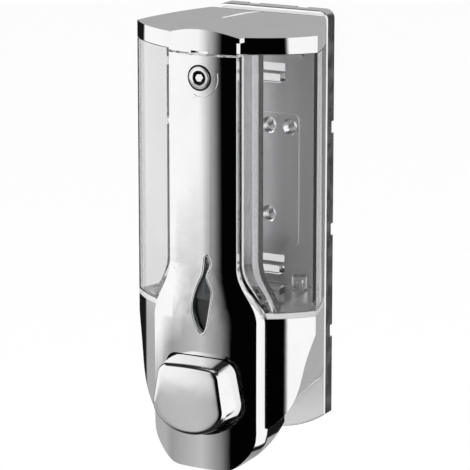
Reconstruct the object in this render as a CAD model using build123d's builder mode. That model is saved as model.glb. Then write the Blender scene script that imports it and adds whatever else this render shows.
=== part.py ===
"""Wall mounted soap dispenser: a clear tank in a chromed shell, with a lockable lid and a push pump.

Millimetres. X to the right, Y into the wall, Z up. The wall is the plane Y = 0, and the origin is the
middle of the upper row of screw holes on that plane.
"""

import os
from math import sqrt

from build123d import *

os.makedirs("parts", exist_ok=True)

# ---- driving dimensions ----
# Levels
TANK_TOP = 42.8  # tank mouth, and the lid's lower edge
LID_TOP = 50.2  # at the front
LID_RISE = 1.4  # how much higher the back of the lid is
RIM = -73.4  # bottom of the tank's wall, and the bowl's rim
BOWL_BOTTOM = -125.0
COLUMN_BOTTOM = -142.2

# Outline that lid, tank and bowl share, seen from above
CORNER_X = 44.0  # sharp front corners, on the front arc
SIDE_X, SIDE_Y = 38.0, -31.0  # middle of the side
REAR_X, REAR_Y = 29.2, -13.5  # where the side turns into the back
TURN_X, TURN_Y = 27.6, -11.3  # middle of the rounded rear corner
BACK_X, BACK_Y = 24.9, -10.5  # end of the flat back
FRONT_R, FRONT_CY = 57.0, -15.0  # front arc

# Walls
TANK_WALL = 2.5
SHELL = 2.4  # chromed mouldings
PLATE_WALL = 2.2
GAP = 0.3  # assembly gap between mouldings

# Fascia column
COLUMN_FRONT = -76.0
NECK_R, FOOT_R = 45.0, 67.0  # roundness of the front face, seen from above
COLUMN_REAR = -58.0  # back edge of the column, inside the tank's channel
NECK_BACK, NECK_FRONT = 17.4, 15.5  # half widths of the upper part at FORM_BACK and FORM_FRONT
FOOT_BACK, FOOT_FRONT = 26.9, 23.0  # the same for the lower part
FORM_BACK, FORM_FRONT = -64.0, -80.0
FLARE_TOP, FLARE_BOTTOM = -50.0, -76.0
SHOULDER = -118.0  # where the lower part starts to round in
CHANNEL_X, CHANNEL_FOOT = 17.9, 27.4  # half widths of the tank's channel, at neck and foot
WEDGE_REAR = -47.0  # back of the column's foot, inside the bowl
LOBE_X = 16.4  # half width of the lid's lobe over the column

# Lock
LOCK_Z = 32.5
COLLAR_R = 5.5
BODY_R = 5.0
BARREL_R = 4.3
CAM_REACH = 9.5
CAM_W = 4.6
NUT_BACK = -69.0

# Button and pump
PUMP_Z = -108.0
BUTTON_FACE = -88.0
BUTTON_BACK = -71.5
BORE_R = 8.0
ROD_R = 4.0
PORT_Y = -38.5  # inlet and outlet lie one above the other here
CHASSIS_Y = -57.5  # front face of the chassis plate
CHASSIS_T = 2.5
BOSSES = ((-20.4, -84.5), (20.4, -84.5), (-20.0, -123.0), (20.0, -123.0))  # chassis screws, X and Z
FLOOR_BOSSES = ((-21.5, -51.8), (21.5, -51.8), (-21.5, -22.0), (21.5, -22.0))  # tank screws, X and Y

# Lid hinge
HINGE_Y, HINGE_Z = -15.6, 46.4
HINGE_PIN_R = 1.25
KNUCKLE_R = 2.4
POCKET_TOP = HINGE_Z + KNUCKLE_R + 0.5  # top of the lid's pockets for the tank's knuckles
REAR_RIM = 39.4

# Wall plate
PLATE_X = 27.4
PLATE_TOP = 53.0
PLATE_FACE = -7.6
PLATE_SIDE_BOTTOM = -132.6
PLATE_BOTTOM = -141.8
SPINE_X, SPINE_TOP, SPINE_BOTTOM = 14.5, 5.8, -55.0
SCREW_PITCH = 10.1
SCREW_R = 2.1
LOWER_SCREW_Z = -40.7
HOOK_LEVELS = (20.0, -68.0)  # lower edges of the plate's two slots
HOOK_X = 6.3


# ---- shapes that several pieces share ----
def body_outline(inset=0.0):
    """Half of the shared outline, mirrored: the front arc, a sharp corner, the side and the flat back."""
    front_r = FRONT_R - inset
    corner_x = CORNER_X - inset
    corner_y = FRONT_CY - sqrt(front_r**2 - corner_x**2)
    with BuildSketch() as outline:
        with BuildLine():
            ThreePointArc((0, FRONT_CY - front_r),
                          (corner_x / 2, FRONT_CY - sqrt(front_r**2 - corner_x**2 / 4)), (corner_x, corner_y))
            ThreePointArc((corner_x, corner_y), (SIDE_X - inset, SIDE_Y),
                          (REAR_X - inset, REAR_Y - inset * 0.6))
            ThreePointArc((REAR_X - inset, REAR_Y - inset * 0.6), (TURN_X - inset, TURN_Y - inset * 0.9),
                          (BACK_X - inset, BACK_Y - inset))
            Line((BACK_X - inset, BACK_Y - inset), (0, BACK_Y - inset))
            Line((0, BACK_Y - inset), (0, FRONT_CY - front_r))
        make_face()
        mirror(about=Plane.YZ)
    return outline.sketch


def bowl_front_view(half_widths, levels, inset):
    """The bowl seen from the front: half widths at three levels, down to a flat middle."""
    wide, waist, foot = half_widths
    high, low, bottom = levels
    with BuildSketch(mode=Mode.PRIVATE) as view:
        with BuildLine():
            Line((0, RIM), (CORNER_X + 1 - inset, RIM))
            Spline((CORNER_X + 1 - inset, RIM), (wide - inset, high),
                   (waist - inset * 0.8, low + inset * 0.6), (foot - inset * 0.3, bottom + inset + 2.4),
                   (0, bottom + inset), tangents=((0, -1), (-1, 0)))
            Line((0, bottom + inset), (0, RIM))
        make_face()
        mirror(about=Plane.YZ)
    return view.sketch


def bowl_vault(inset):
    """The bowl's sides and bottom: they close in towards the wall."""
    with BuildPart(mode=Mode.PRIVATE) as vault:
        with BuildSketch(Plane.XZ.offset(76)):
            add(bowl_front_view((42.9, 39.2, 31.0), (-98.0, -113.6, BOWL_BOTTOM), inset))
        with BuildSketch(Plane.XZ.offset(8)):
            add(bowl_front_view((37.5, 31.5, 24.0), (-88.0, -102.0, BOWL_BOTTOM + 4.5), inset))
        loft(ruled=True)
    return vault.part


def bowl_form(inset=0.0):
    """The bowl's outer or inner form: the outline, cut by a rounded front view and a rounded side view."""
    bottom = BOWL_BOTTOM + inset
    with BuildPart(mode=Mode.PRIVATE) as form:
        with BuildSketch(Plane.XY.offset(RIM)):
            add(body_outline(inset))
        extrude(amount=bottom - RIM)
        add(bowl_vault(inset), mode=Mode.INTERSECT)
        with BuildSketch(Plane.YZ):
            with BuildLine():
                Polyline((-80, bottom), (-80, RIM), (BACK_Y - inset, RIM), (BACK_Y - inset, -100))
                ThreePointArc((BACK_Y - inset, -100), (-17.5 - inset, -116.5 + inset), (-34.0, bottom))
                Line((-34.0, bottom), (-80, bottom))
            make_face()
        extrude(amount=60, both=True, mode=Mode.INTERSECT)
    return form.part


def column_silhouette(neck, foot, inset):
    """Front view of the column: straight neck, S-shaped flare, straight foot and rounded bottom."""
    neck, foot = neck - inset, foot - inset
    bottom = COLUMN_BOTTOM + inset
    with BuildLine(mode=Mode.PRIVATE) as half:
        Line((0, TANK_TOP), (neck, TANK_TOP))
        Line((neck, TANK_TOP), (neck, FLARE_TOP))
        Spline((neck, FLARE_TOP), (foot, FLARE_BOTTOM), tangents=((0, -1), (0, -1)),
               tangent_scalars=(1.1, 1.1))
        Line((foot, FLARE_BOTTOM), (foot, SHOULDER))
        Spline((foot, SHOULDER), (foot * 0.93, bottom + 9.5), (foot * 0.7, bottom + 2.5), (0, bottom),
               tangents=((0, -1), (-1, 0)))
        Line((0, bottom), (0, TANK_TOP))
    with BuildSketch(mode=Mode.PRIVATE) as sketch:
        make_face(half.edges())
        mirror(about=Plane.YZ)
    return sketch.sketch


def front_plan(radius, inset):
    """Everything behind one round front face, seen from above."""
    front = COLUMN_FRONT + inset
    edge = front + radius - sqrt(radius**2 - 30**2)
    with BuildSketch(mode=Mode.PRIVATE) as plan:
        with BuildLine():
            ThreePointArc((-30, edge), (0, front), (30, edge))
            Polyline((30, edge), (30, -40), (-30, -40), (-30, edge))
        make_face()
    return plan.sketch


def front_form(inset):
    """The column's front face: well rounded at the neck, flatter at the foot."""
    with BuildPart(mode=Mode.PRIVATE) as form:
        with BuildSketch(Plane.XY.offset(TANK_TOP)):
            add(front_plan(NECK_R - inset, inset))
        extrude(amount=FLARE_TOP - TANK_TOP)
        with BuildSketch(Plane.XY.offset(FLARE_TOP)):
            add(front_plan(NECK_R - inset, inset))
        with BuildSketch(Plane.XY.offset(FLARE_BOTTOM)):
            add(front_plan(FOOT_R - inset, inset))
        loft(ruled=True)
        with BuildSketch(Plane.XY.offset(FLARE_BOTTOM)):
            add(front_plan(FOOT_R - inset, inset))
        extrude(amount=COLUMN_BOTTOM - FLARE_BOTTOM)
    return form.part


def column_form(inset=0.0):
    """The column's outer or inner form: flanks that lean in, behind one upright round front face."""
    with BuildPart(mode=Mode.PRIVATE) as form:
        with BuildSketch(Plane.XZ.offset(-FORM_BACK)):
            add(column_silhouette(NECK_BACK, FOOT_BACK, inset))
        with BuildSketch(Plane.XZ.offset(-FORM_FRONT)):
            add(column_silhouette(NECK_FRONT, FOOT_FRONT, inset))
        loft(ruled=True)
        # the flanks run on straight into the channel, and the foot further into the bowl
        with BuildSketch(Plane.XZ.offset(-COLUMN_REAR)):
            add(column_silhouette(NECK_BACK, FOOT_BACK, inset))
        extrude(amount=COLUMN_REAR - FORM_BACK)
        with BuildSketch(Plane.XZ.offset(-WEDGE_REAR)):
            add(column_silhouette(NECK_BACK, FOOT_BACK, inset))
            with Locations((0, SHOULDER + 100)):
                Rectangle(100, 200, mode=Mode.SUBTRACT)
        extrude(amount=WEDGE_REAR - FORM_BACK)
        add(front_form(inset), mode=Mode.INTERSECT)
        # the underside rises towards the bowl
        with BuildSketch(Plane.YZ):
            Polygon((-90, COLUMN_BOTTOM + inset - 6), (-74, COLUMN_BOTTOM + inset),
                    (WEDGE_REAR, BOWL_BOTTOM + inset), (-30, BOWL_BOTTOM + inset), (-30, COLUMN_BOTTOM - 20),
                    (-90, COLUMN_BOTTOM - 20), align=None)
        extrude(amount=60, both=True, mode=Mode.SUBTRACT)
    return form.part


def button_outline(grow=0.0):
    """The shield outline of the button: flat top, sides that widen downwards, round bottom."""
    with BuildLine(mode=Mode.PRIVATE) as half:
        Line((0, -94.2 + grow), (10.5 + grow * 0.7, -94.6 + grow))
        ThreePointArc((10.5 + grow * 0.7, -94.6 + grow), (13.6 + grow * 0.9, -95.8 + grow * 0.7),
                      (14.8 + grow, -98.6 + grow * 0.2))
        Line((14.8 + grow, -98.6 + grow * 0.2), (16.8 + grow, -110.5))
        ThreePointArc((16.8 + grow, -110.5), (16.7 + grow, -113.0 - grow * 0.3),
                      (15.4 + grow * 0.8, -115.6 - grow * 0.6))
        ThreePointArc((15.4 + grow * 0.8, -115.6 - grow * 0.6), (9.0 + grow * 0.5, -120.9 - grow * 0.9),
                      (0, -122.9 - grow))
        Line((0, -122.9 - grow), (0, -94.2 + grow))
    with BuildSketch(mode=Mode.PRIVATE) as sketch:
        make_face(half.edges())
        mirror(about=Plane.YZ)
    return sketch.sketch


def window_outline(grow=0.0):
    """The S-shaped level window: a thin tongue above, a leaf below."""
    with BuildLine(mode=Mode.PRIVATE) as line:
        Spline((3.6, -46.0 + grow), (4.6 + grow, -49.5), (2.9 + grow, -55.6), (4.6 + grow, -59.6),
               (4.4 + grow, -68.0), (0.8, -80.2 - grow), (-3.3 - grow, -72.7), (-3.2 - grow, -65.2),
               (-grow, -57.0), (2.0 - grow, -50.8), periodic=True)
    with BuildSketch(mode=Mode.PRIVATE) as sketch:
        make_face(line.edges())
    return sketch.sketch


def finish(piece, name):
    """Names one finished piece and writes it."""
    piece.part.label = name
    export_step(piece.part, f"parts/{name}.step")


# ---- wall plate: a chromed tray with screw bosses, hung from by the tank's two hooks ----
def plate_sketch(inset=0.0):
    side, top = PLATE_X - inset, PLATE_TOP - inset
    with BuildLine(mode=Mode.PRIVATE) as half:
        Line((0, top), (side - 4 + inset / 2, top))
        ThreePointArc((side - 4 + inset / 2, top), (side - 1.2, top - 1.2), (side, top - 4 + inset / 2))
        Line((side, top - 4 + inset / 2), (side, PLATE_SIDE_BOTTOM + inset))
        ThreePointArc((side, PLATE_SIDE_BOTTOM + inset), (side * 0.55, PLATE_BOTTOM + inset + 2.7),
                      (0, PLATE_BOTTOM + inset))
        Line((0, PLATE_BOTTOM + inset), (0, top))
    with BuildSketch(mode=Mode.PRIVATE) as sketch:
        make_face(half.edges())
        mirror(about=Plane.YZ)
    return sketch.sketch


with BuildPart() as wall_plate:
    with BuildSketch(Plane.XZ):
        add(plate_sketch())
    extrude(amount=-PLATE_FACE)
    fillet(wall_plate.faces().sort_by(Axis.Y)[0].edges(), 1.0)
    with BuildSketch(Plane.XZ):
        add(plate_sketch(PLATE_WALL))
    extrude(amount=-PLATE_FACE - PLATE_WALL, mode=Mode.SUBTRACT)
    # raised spine, and the bosses behind it that reach the wall
    with BuildSketch(Plane.XZ.offset(-PLATE_FACE)):
        with Locations((0, (SPINE_TOP + SPINE_BOTTOM) / 2)):
            RectangleRounded(2 * SPINE_X, SPINE_TOP - SPINE_BOTTOM, 3)
    extrude(amount=0.9)
    with BuildSketch(Plane.XZ):
        RectangleRounded(2 * SCREW_PITCH + 11, 11, 5)
        with Locations((0, LOWER_SCREW_Z)):
            Circle(6.2)
    extrude(amount=-PLATE_FACE)
    with Locations(Plane.XZ.offset(-PLATE_FACE + 0.9)):
        with Locations((-SCREW_PITCH, 0), (0, 0), (SCREW_PITCH, 0), (0, LOWER_SCREW_Z)):
            CounterBoreHole(SCREW_R, 3.75, 3.0)
    # slots for the tank's hooks
    with BuildSketch(Plane.XZ.offset(12)):
        for level in HOOK_LEVELS:
            with Locations((0, level + 4.2)):
                Rectangle(2 * HOOK_X + 2, 8.4)
    extrude(amount=-12, mode=Mode.SUBTRACT)
    # notches in the rear edge, to prise it off the wall
    with Locations(*[(side * PLATE_X, 0, level) for side in (-1, 1) for level in (0.0, -47.0, -94.4)]):
        Box(2 * PLATE_WALL + 1, 4.4, 5.5, mode=Mode.SUBTRACT)
    with BuildSketch(Plane.XY.offset(PLATE_TOP)):
        with Locations((-12, 0), (12, 0)):
            Rectangle(5.5, 4.4)
    extrude(amount=-PLATE_WALL - 0.5, mode=Mode.SUBTRACT)
finish(wall_plate, "wall_plate")


# ---- tank: clear, open at the top, with a channel down its front for the column ----
def channel_form(grow):
    """The space in the tank's front for the column, which follows the column's flare."""
    with BuildPart(mode=Mode.PRIVATE) as channel:
        with BuildSketch(Plane.XZ.offset(-COLUMN_REAR - grow)):
            add(column_silhouette(CHANNEL_X, CHANNEL_FOOT, -grow))
            with Locations((0, TANK_TOP)):
                Rectangle(2 * (CHANNEL_X + grow), 20)
        extrude(amount=30)
    return channel.part


with BuildPart() as tank:
    with BuildSketch(Plane.XY.offset(RIM)):
        add(body_outline())
    extrude(amount=TANK_TOP - RIM)
    add(channel_form(0), mode=Mode.SUBTRACT)
    with BuildPart(mode=Mode.PRIVATE) as tank_inside:
        with BuildSketch(Plane.XY.offset(RIM + TANK_WALL)):
            add(body_outline(TANK_WALL))
        extrude(amount=TANK_TOP - RIM - TANK_WALL)
        add(channel_form(TANK_WALL), mode=Mode.SUBTRACT)
    add(tank_inside.part, mode=Mode.SUBTRACT)
    # rib that locates the bowl
    with BuildSketch(Plane.XY.offset(RIM)):
        add(body_outline(SHELL + 0.5))
        add(body_outline(SHELL + 2.1), mode=Mode.SUBTRACT)
        with Locations((0, -60)):
            Rectangle(60, 40, mode=Mode.SUBTRACT)
    extrude(amount=-4.0)
    # spout to the pump
    with BuildSketch(Plane.XY.offset(RIM)):
        with Locations((0, PORT_Y)):
            Circle(6.5)
    extrude(amount=-13.0)
    with BuildSketch(Plane.XY.offset(RIM - 13.0)):
        with Locations((0, PORT_Y)):
            Circle(4.5)
    extrude(amount=13.0 + TANK_WALL, mode=Mode.SUBTRACT)
    # screw bosses in the floor
    with BuildSketch(Plane.XY.offset(RIM)):
        with Locations(*FLOOR_BOSSES):
            Circle(3.4)
    extrude(amount=9.0)
    with BuildSketch(Plane.XY.offset(RIM)):
        with Locations(*FLOOR_BOSSES):
            Circle(1.3)
    extrude(amount=7.0, mode=Mode.SUBTRACT)
    # hooks that drop into the plate's slots
    with BuildSketch(Plane.YZ):
        for level in HOOK_LEVELS:
            with Locations((-7.25, level + 2.0)):
                Rectangle(7.5, 4.0)
            with Locations((-4.45, level - 0.5)):
                Rectangle(1.9, 9.0)
    extrude(amount=HOOK_X, both=True)
    # the rear rim is lower, so that the lid's back edge can swing down past it
    with BuildSketch(Plane.XY.offset(REAR_RIM)):
        with Locations((0, HINGE_Y + 7.6)):
            Rectangle(90, 20)
    extrude(amount=10, mode=Mode.SUBTRACT)
    # knuckles of the lid hinge
    for side in (-1, 1):
        with BuildSketch(Plane.YZ.offset(side * 13.0)):
            with Locations((HINGE_Y, HINGE_Z)):
                Circle(KNUCKLE_R)
            Polygon((HINGE_Y - KNUCKLE_R, HINGE_Z), (HINGE_Y + KNUCKLE_R, HINGE_Z),
                    (HINGE_Y + KNUCKLE_R, REAR_RIM - 0.5), (BACK_Y - 1, 37.0), (BACK_Y - 1, 31.0),
                    (HINGE_Y - KNUCKLE_R, 36.0), align=None)
            with Locations((HINGE_Y, HINGE_Z)):
                Circle(HINGE_PIN_R, mode=Mode.SUBTRACT)
        extrude(amount=side * 6.0)
finish(tank, "tank")

# ---- lid: a shallow cap with a crest, a lobe over the column and a hook for the lock ----
with BuildPart() as lid:
    with BuildSketch(Plane.XY.offset(TANK_TOP)):
        add(body_outline())
        add(front_plan(NECK_R, 0))
        with Locations((0, -65)):
            Rectangle(2 * LOBE_X, 30, mode=Mode.INTERSECT)
        add(body_outline())
    extrude(amount=LID_TOP - TANK_TOP + LID_RISE)
    # the top rises a little towards the wall
    with BuildSketch(Plane.YZ):
        Polygon((-90, LID_TOP), (-58, LID_TOP), (BACK_Y, LID_TOP + LID_RISE), (0, LID_TOP + LID_RISE),
                (0, 60), (-90, 60), align=None)
    extrude(amount=60, both=True, mode=Mode.SUBTRACT)
    # crest: a low dome that runs back from the lobe
    with BuildPart(mode=Mode.PRIVATE) as crest:
        for y, half_width, rise in ((-78.0, 16.6, 3.3), (-42.0, 18.8, 2.4), (BACK_Y, 12.0, LID_RISE + 0.1)):
            with BuildSketch(Plane.XZ.offset(-y)):
                with BuildLine():
                    ThreePointArc((-half_width, LID_TOP), (0, LID_TOP + rise), (half_width, LID_TOP))
                    Polyline((half_width, LID_TOP), (half_width, LID_TOP - 2), (-half_width, LID_TOP - 2),
                             (-half_width, LID_TOP))
                make_face()
        loft()
        with BuildSketch(Plane.XY.offset(LID_TOP - 3)):
            add(front_plan(NECK_R, 0))
            with Locations((0, -30)):
                Rectangle(60, 30)
        extrude(amount=10, mode=Mode.INTERSECT)
    add(crest.part)
    # hollow underside
    with BuildSketch(Plane.XY.offset(TANK_TOP)):
        add(body_outline(SHELL))
        with Locations((0, -64)):
            Rectangle(2 * (LOBE_X - SHELL), 19.2)
    extrude(amount=LID_TOP - TANK_TOP - SHELL, mode=Mode.SUBTRACT)
    # the rear skirt is cut short so that it clears the tank as the lid swings
    with BuildSketch(Plane.XY.offset(TANK_TOP)):
        with Locations((0, HINGE_Y + 10)):
            Rectangle(90, 21)
    extrude(amount=2.2, mode=Mode.SUBTRACT)
    with BuildSketch(Plane.YZ):
        with Locations((BACK_Y, LID_TOP + LID_RISE)):
            Rectangle(2.4, 2.4)
        with Locations((BACK_Y - 1.2, LID_TOP + LID_RISE - 1.2)):
            Circle(1.2, mode=Mode.SUBTRACT)
    extrude(amount=45, both=True, mode=Mode.SUBTRACT)
    # pockets that clear the tank's knuckles as the lid swings
    for side in (-1, 1):
        with BuildSketch(Plane.YZ.offset(side * 12.6)):
            Polygon((HINGE_Y - KNUCKLE_R - 1.2, TANK_TOP - 1), (HINGE_Y - KNUCKLE_R - 1.2, POCKET_TOP),
                    (BACK_Y + 1, POCKET_TOP), (BACK_Y + 1, TANK_TOP - 1), align=None)
        extrude(amount=side * 6.7, mode=Mode.SUBTRACT)
    # knuckles
    for side in (-1, 1):
        with BuildSketch(Plane.YZ.offset(side * 19.3)):
            with Locations((HINGE_Y, HINGE_Z)):
                Circle(KNUCKLE_R)
            with Locations((HINGE_Y, HINGE_Z + 1.4)):
                Rectangle(2 * KNUCKLE_R, 3.6)
            with Locations((HINGE_Y, HINGE_Z)):
                Circle(HINGE_PIN_R + 0.05, mode=Mode.SUBTRACT)
        extrude(amount=side * 5.0)
    # hook for the lock's cam, open on its left side
    with BuildSketch(Plane.XZ.offset(61.0)):
        with BuildLine():
            Polyline((13.0, LID_TOP - 1.5), (13.0, 27.0), (6.8, 27.0), (6.8, 29.4), (10.6, 29.4),
                     (10.6, LID_TOP - 1.5), (13.0, LID_TOP - 1.5))
        make_face()
    extrude(amount=4.5)
    # thumb notch under the lobe
    with BuildSketch(Plane.XY.offset(TANK_TOP)):
        with Locations((0, -77.6)):
            Ellipse(5.5, 2.6)
    extrude(amount=1.3, mode=Mode.SUBTRACT)
finish(lid, "lid")

with BuildPart() as lid_hinge_pin:
    with BuildSketch(Plane.YZ.offset(-24.3)):
        with Locations((HINGE_Y, HINGE_Z)):
            Circle(HINGE_PIN_R)
    extrude(amount=48.6)
finish(lid_hinge_pin, "lid_hinge_pin")

# ---- column: the chromed fascia, an open-backed shell ----
with BuildPart() as front_column:
    add(column_form())
    add(column_form(SHELL), mode=Mode.SUBTRACT)
    # open back: inside the channel, and inside the bowl
    with BuildSketch(Plane.XZ.offset(-WEDGE_REAR - 1)):
        with Locations((0, (TANK_TOP + SHOULDER) / 2)):
            Rectangle(2 * (NECK_BACK - SHELL), TANK_TOP - SHOULDER)
    extrude(amount=WEDGE_REAR - COLUMN_REAR + 4, mode=Mode.SUBTRACT)
    with BuildSketch(Plane.XY.offset(TANK_TOP)):
        with Locations((0, -66)):
            Rectangle(2 * 13.8, 14)
    extrude(amount=-SHELL - 1, mode=Mode.SUBTRACT)
    # button opening
    with BuildSketch(Plane.XZ.offset(60)):
        add(button_outline(3.6))
    extrude(amount=30, mode=Mode.SUBTRACT)
    # window opening
    with BuildSketch(Plane.XZ.offset(60)):
        add(window_outline())
    extrude(amount=30, mode=Mode.SUBTRACT)
    # lock seat
    with BuildSketch(Plane.XZ.offset(72.0)):
        with Locations((0, LOCK_Z)):
            Circle(9.0)
    extrude(amount=3.0)
    with BuildSketch(Plane.XZ.offset(60)):
        with Locations((0, LOCK_Z)):
            Circle(BODY_R + 0.05)
    extrude(amount=30, mode=Mode.SUBTRACT)
    with BuildSketch(Plane.XZ.offset(74.4)):
        with Locations((0, LOCK_Z)):
            Circle(COLLAR_R + 0.2)
    extrude(amount=10, mode=Mode.SUBTRACT)
    # bosses for the chassis screws
    with BuildSketch(Plane.XZ.offset(-CHASSIS_Y)):
        with Locations(*BOSSES):
            Circle(2.9)
    extrude(amount=13.4)
    with BuildSketch(Plane.XZ.offset(-CHASSIS_Y)):
        with Locations(*BOSSES):
            Circle(1.3)
    extrude(amount=9.0, mode=Mode.SUBTRACT)
finish(front_column, "front_column")

with BuildPart() as window_lens:
    with BuildSketch(Plane.XZ.offset(73.0)):
        add(window_outline(-0.05))
    extrude(amount=1.4)
    with BuildSketch(Plane.XZ.offset(71.6)):
        with Locations((0.6, -63.2)):
            Rectangle(12.5, 36.5)
    extrude(amount=1.4)
finish(window_lens, "window_lens")

# ---- bowl: chromed, with the column standing in its front ----
with BuildPart() as lower_bowl:
    add(bowl_form())
    add(bowl_form(SHELL), mode=Mode.SUBTRACT)
    add(column_form(-GAP), mode=Mode.SUBTRACT)
    with BuildSketch(Plane.XY.offset(BOWL_BOTTOM - 1)):
        with Locations((0, PORT_Y)):
            Circle(6.2)
    extrude(amount=9, mode=Mode.SUBTRACT)
finish(lower_bowl, "lower_bowl")

# ---- lock ----
with BuildPart() as lock_housing:
    with BuildSketch(Plane.XZ.offset(66.5)):
        with Locations((0, LOCK_Z)):
            Circle(BODY_R)
    extrude(amount=8.2)
    with BuildSketch(Plane.XZ.offset(74.4)):
        with Locations((0, LOCK_Z)):
            Circle(COLLAR_R)
    extrude(amount=1.8)
    fillet(lock_housing.edges().group_by(Axis.Y)[0], 0.4)
    with BuildSketch(Plane.XZ.offset(60)):
        with Locations((0, LOCK_Z)):
            Circle(BARREL_R + 0.05)
    extrude(amount=30, mode=Mode.SUBTRACT)
finish(lock_housing, "lock_housing")

with BuildPart() as lock_nut:
    with BuildSketch(Plane.XZ.offset(-NUT_BACK)):
        with Locations((0, LOCK_Z)):
            RegularPolygon(7.0, 6, major_radius=False)
            Circle(BODY_R, mode=Mode.SUBTRACT)
    extrude(amount=3.0)
finish(lock_nut, "lock_nut")

with BuildPart() as lock_barrel:
    with BuildSketch(Plane.XZ.offset(65.5)):
        with Locations((0, LOCK_Z)):
            Circle(BARREL_R)
    extrude(amount=10.6)
    with BuildSketch(Plane.XZ.offset(73.0)):
        with Locations((0, LOCK_Z)):
            Circle(3.1)
            RegularPolygon(1.9, 6, mode=Mode.SUBTRACT)
    extrude(amount=5, mode=Mode.SUBTRACT)
    with BuildSketch(Plane.XZ.offset(65.5)):
        with Locations((0, LOCK_Z)):
            Circle(1.4)
    extrude(amount=5.0, mode=Mode.SUBTRACT)
finish(lock_barrel, "lock_barrel")

with BuildPart() as lock_cam:
    with BuildSketch(Plane.XZ.offset(63.7)):
        with Locations((0, LOCK_Z)):
            Circle(3.6)
        with Locations((0, LOCK_Z + CAM_REACH / 2)):
            Rectangle(CAM_W, CAM_REACH)
        with Locations((0, LOCK_Z)):
            Circle(1.4, mode=Mode.SUBTRACT)
    extrude(amount=1.8)
finish(lock_cam, "lock_cam")

with BuildPart() as cam_screw:
    with BuildSketch(Plane.XZ.offset(62.3)):
        with Locations((0, LOCK_Z)):
            Circle(2.6)
    extrude(amount=1.4)
    with BuildSketch(Plane.XZ.offset(63.7)):
        with Locations((0, LOCK_Z)):
            Circle(1.4)
    extrude(amount=6.4)
finish(cam_screw, "cam_screw")

# ---- button: a hollow shield with a stem that carries the piston rod ----
with BuildPart() as push_button:
    with BuildSketch(Plane.XZ.offset(-BUTTON_BACK)):
        add(button_outline(2.7))
    with BuildSketch(Plane.XZ.offset(-BUTTON_FACE - 1.5)):
        add(button_outline(0.2))
    with BuildSketch(Plane.XZ.offset(-BUTTON_FACE)):
        add(button_outline(-1.2))
    loft(ruled=True)
    with BuildPart(mode=Mode.PRIVATE) as hollow:
        with BuildSketch(Plane.XZ.offset(-BUTTON_BACK)):
            add(button_outline(0.5))
        with BuildSketch(Plane.XZ.offset(-BUTTON_FACE - SHELL)):
            add(button_outline(-2.2))
        loft(ruled=True)
    add(hollow.part, mode=Mode.SUBTRACT)
    # stem
    with BuildSketch(Plane.XZ.offset(78.0)):
        with Locations((0, PUMP_Z)):
            Circle(7.4)
            Circle(ROD_R, mode=Mode.SUBTRACT)
    extrude(amount=-BUTTON_FACE - SHELL - 78.0)
    # ears behind the fascia that stop the button from being pulled out
    for side in (-1, 1):
        with BuildSketch(Plane.YZ.offset(side * 18.0)):
            with Locations((-66.5, PUMP_Z)):
                Rectangle(1.4, 8.0)
            with Locations((-69.3, PUMP_Z)):
                Rectangle(5.4, 6.0)
        extrude(amount=side * 1.3)
        with BuildSketch(Plane.YZ.offset(side * 19.3)):
            with Locations((-66.5, PUMP_Z)):
                Rectangle(1.4, 8.0)
        extrude(amount=side * 2.2)
finish(push_button, "push_button")

with BuildPart() as pump_piston:
    with BuildSketch(Plane.XZ.offset(50.5)):
        with Locations((0, PUMP_Z)):
            Circle(BORE_R - 0.1)
    extrude(amount=6.0)
    with BuildSketch(Plane.XZ.offset(52.3)):
        with Locations((0, PUMP_Z)):
            Circle(BORE_R)
            Circle(6.3, mode=Mode.SUBTRACT)
    extrude(amount=2.4, mode=Mode.SUBTRACT)
    with BuildSketch(Plane.XZ.offset(56.5)):
        with Locations((0, PUMP_Z)):
            Circle(ROD_R)
    extrude(amount=-BUTTON_FACE - SHELL - 56.5)
finish(pump_piston, "pump_piston")

with BuildPart() as piston_seal:
    with BuildSketch(Plane.XZ.offset(52.3)):
        with Locations((0, PUMP_Z)):
            Circle(BORE_R - 0.03)
            Circle(6.3, mode=Mode.SUBTRACT)
    extrude(amount=2.4)
finish(piston_seal, "piston_seal")

# ---- return spring around the rod ----
SPRING_R, SPRING_WIRE, SPRING_TURNS = 6.2, 0.45, 6.0
SPRING_START, SPRING_END = 63.0, 77.5
with BuildPart() as button_spring:
    with BuildLine():
        wind = Helix(pitch=(SPRING_END - SPRING_START) / SPRING_TURNS, height=SPRING_END - SPRING_START,
                     radius=SPRING_R, center=(0, -SPRING_START, PUMP_Z), direction=(0, -1, 0))
    with BuildSketch(Plane(origin=wind @ 0, z_dir=wind % 0)):
        Circle(SPRING_WIRE)
    sweep(path=wind, is_frenet=True)
finish(button_spring, "button_spring")

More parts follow.
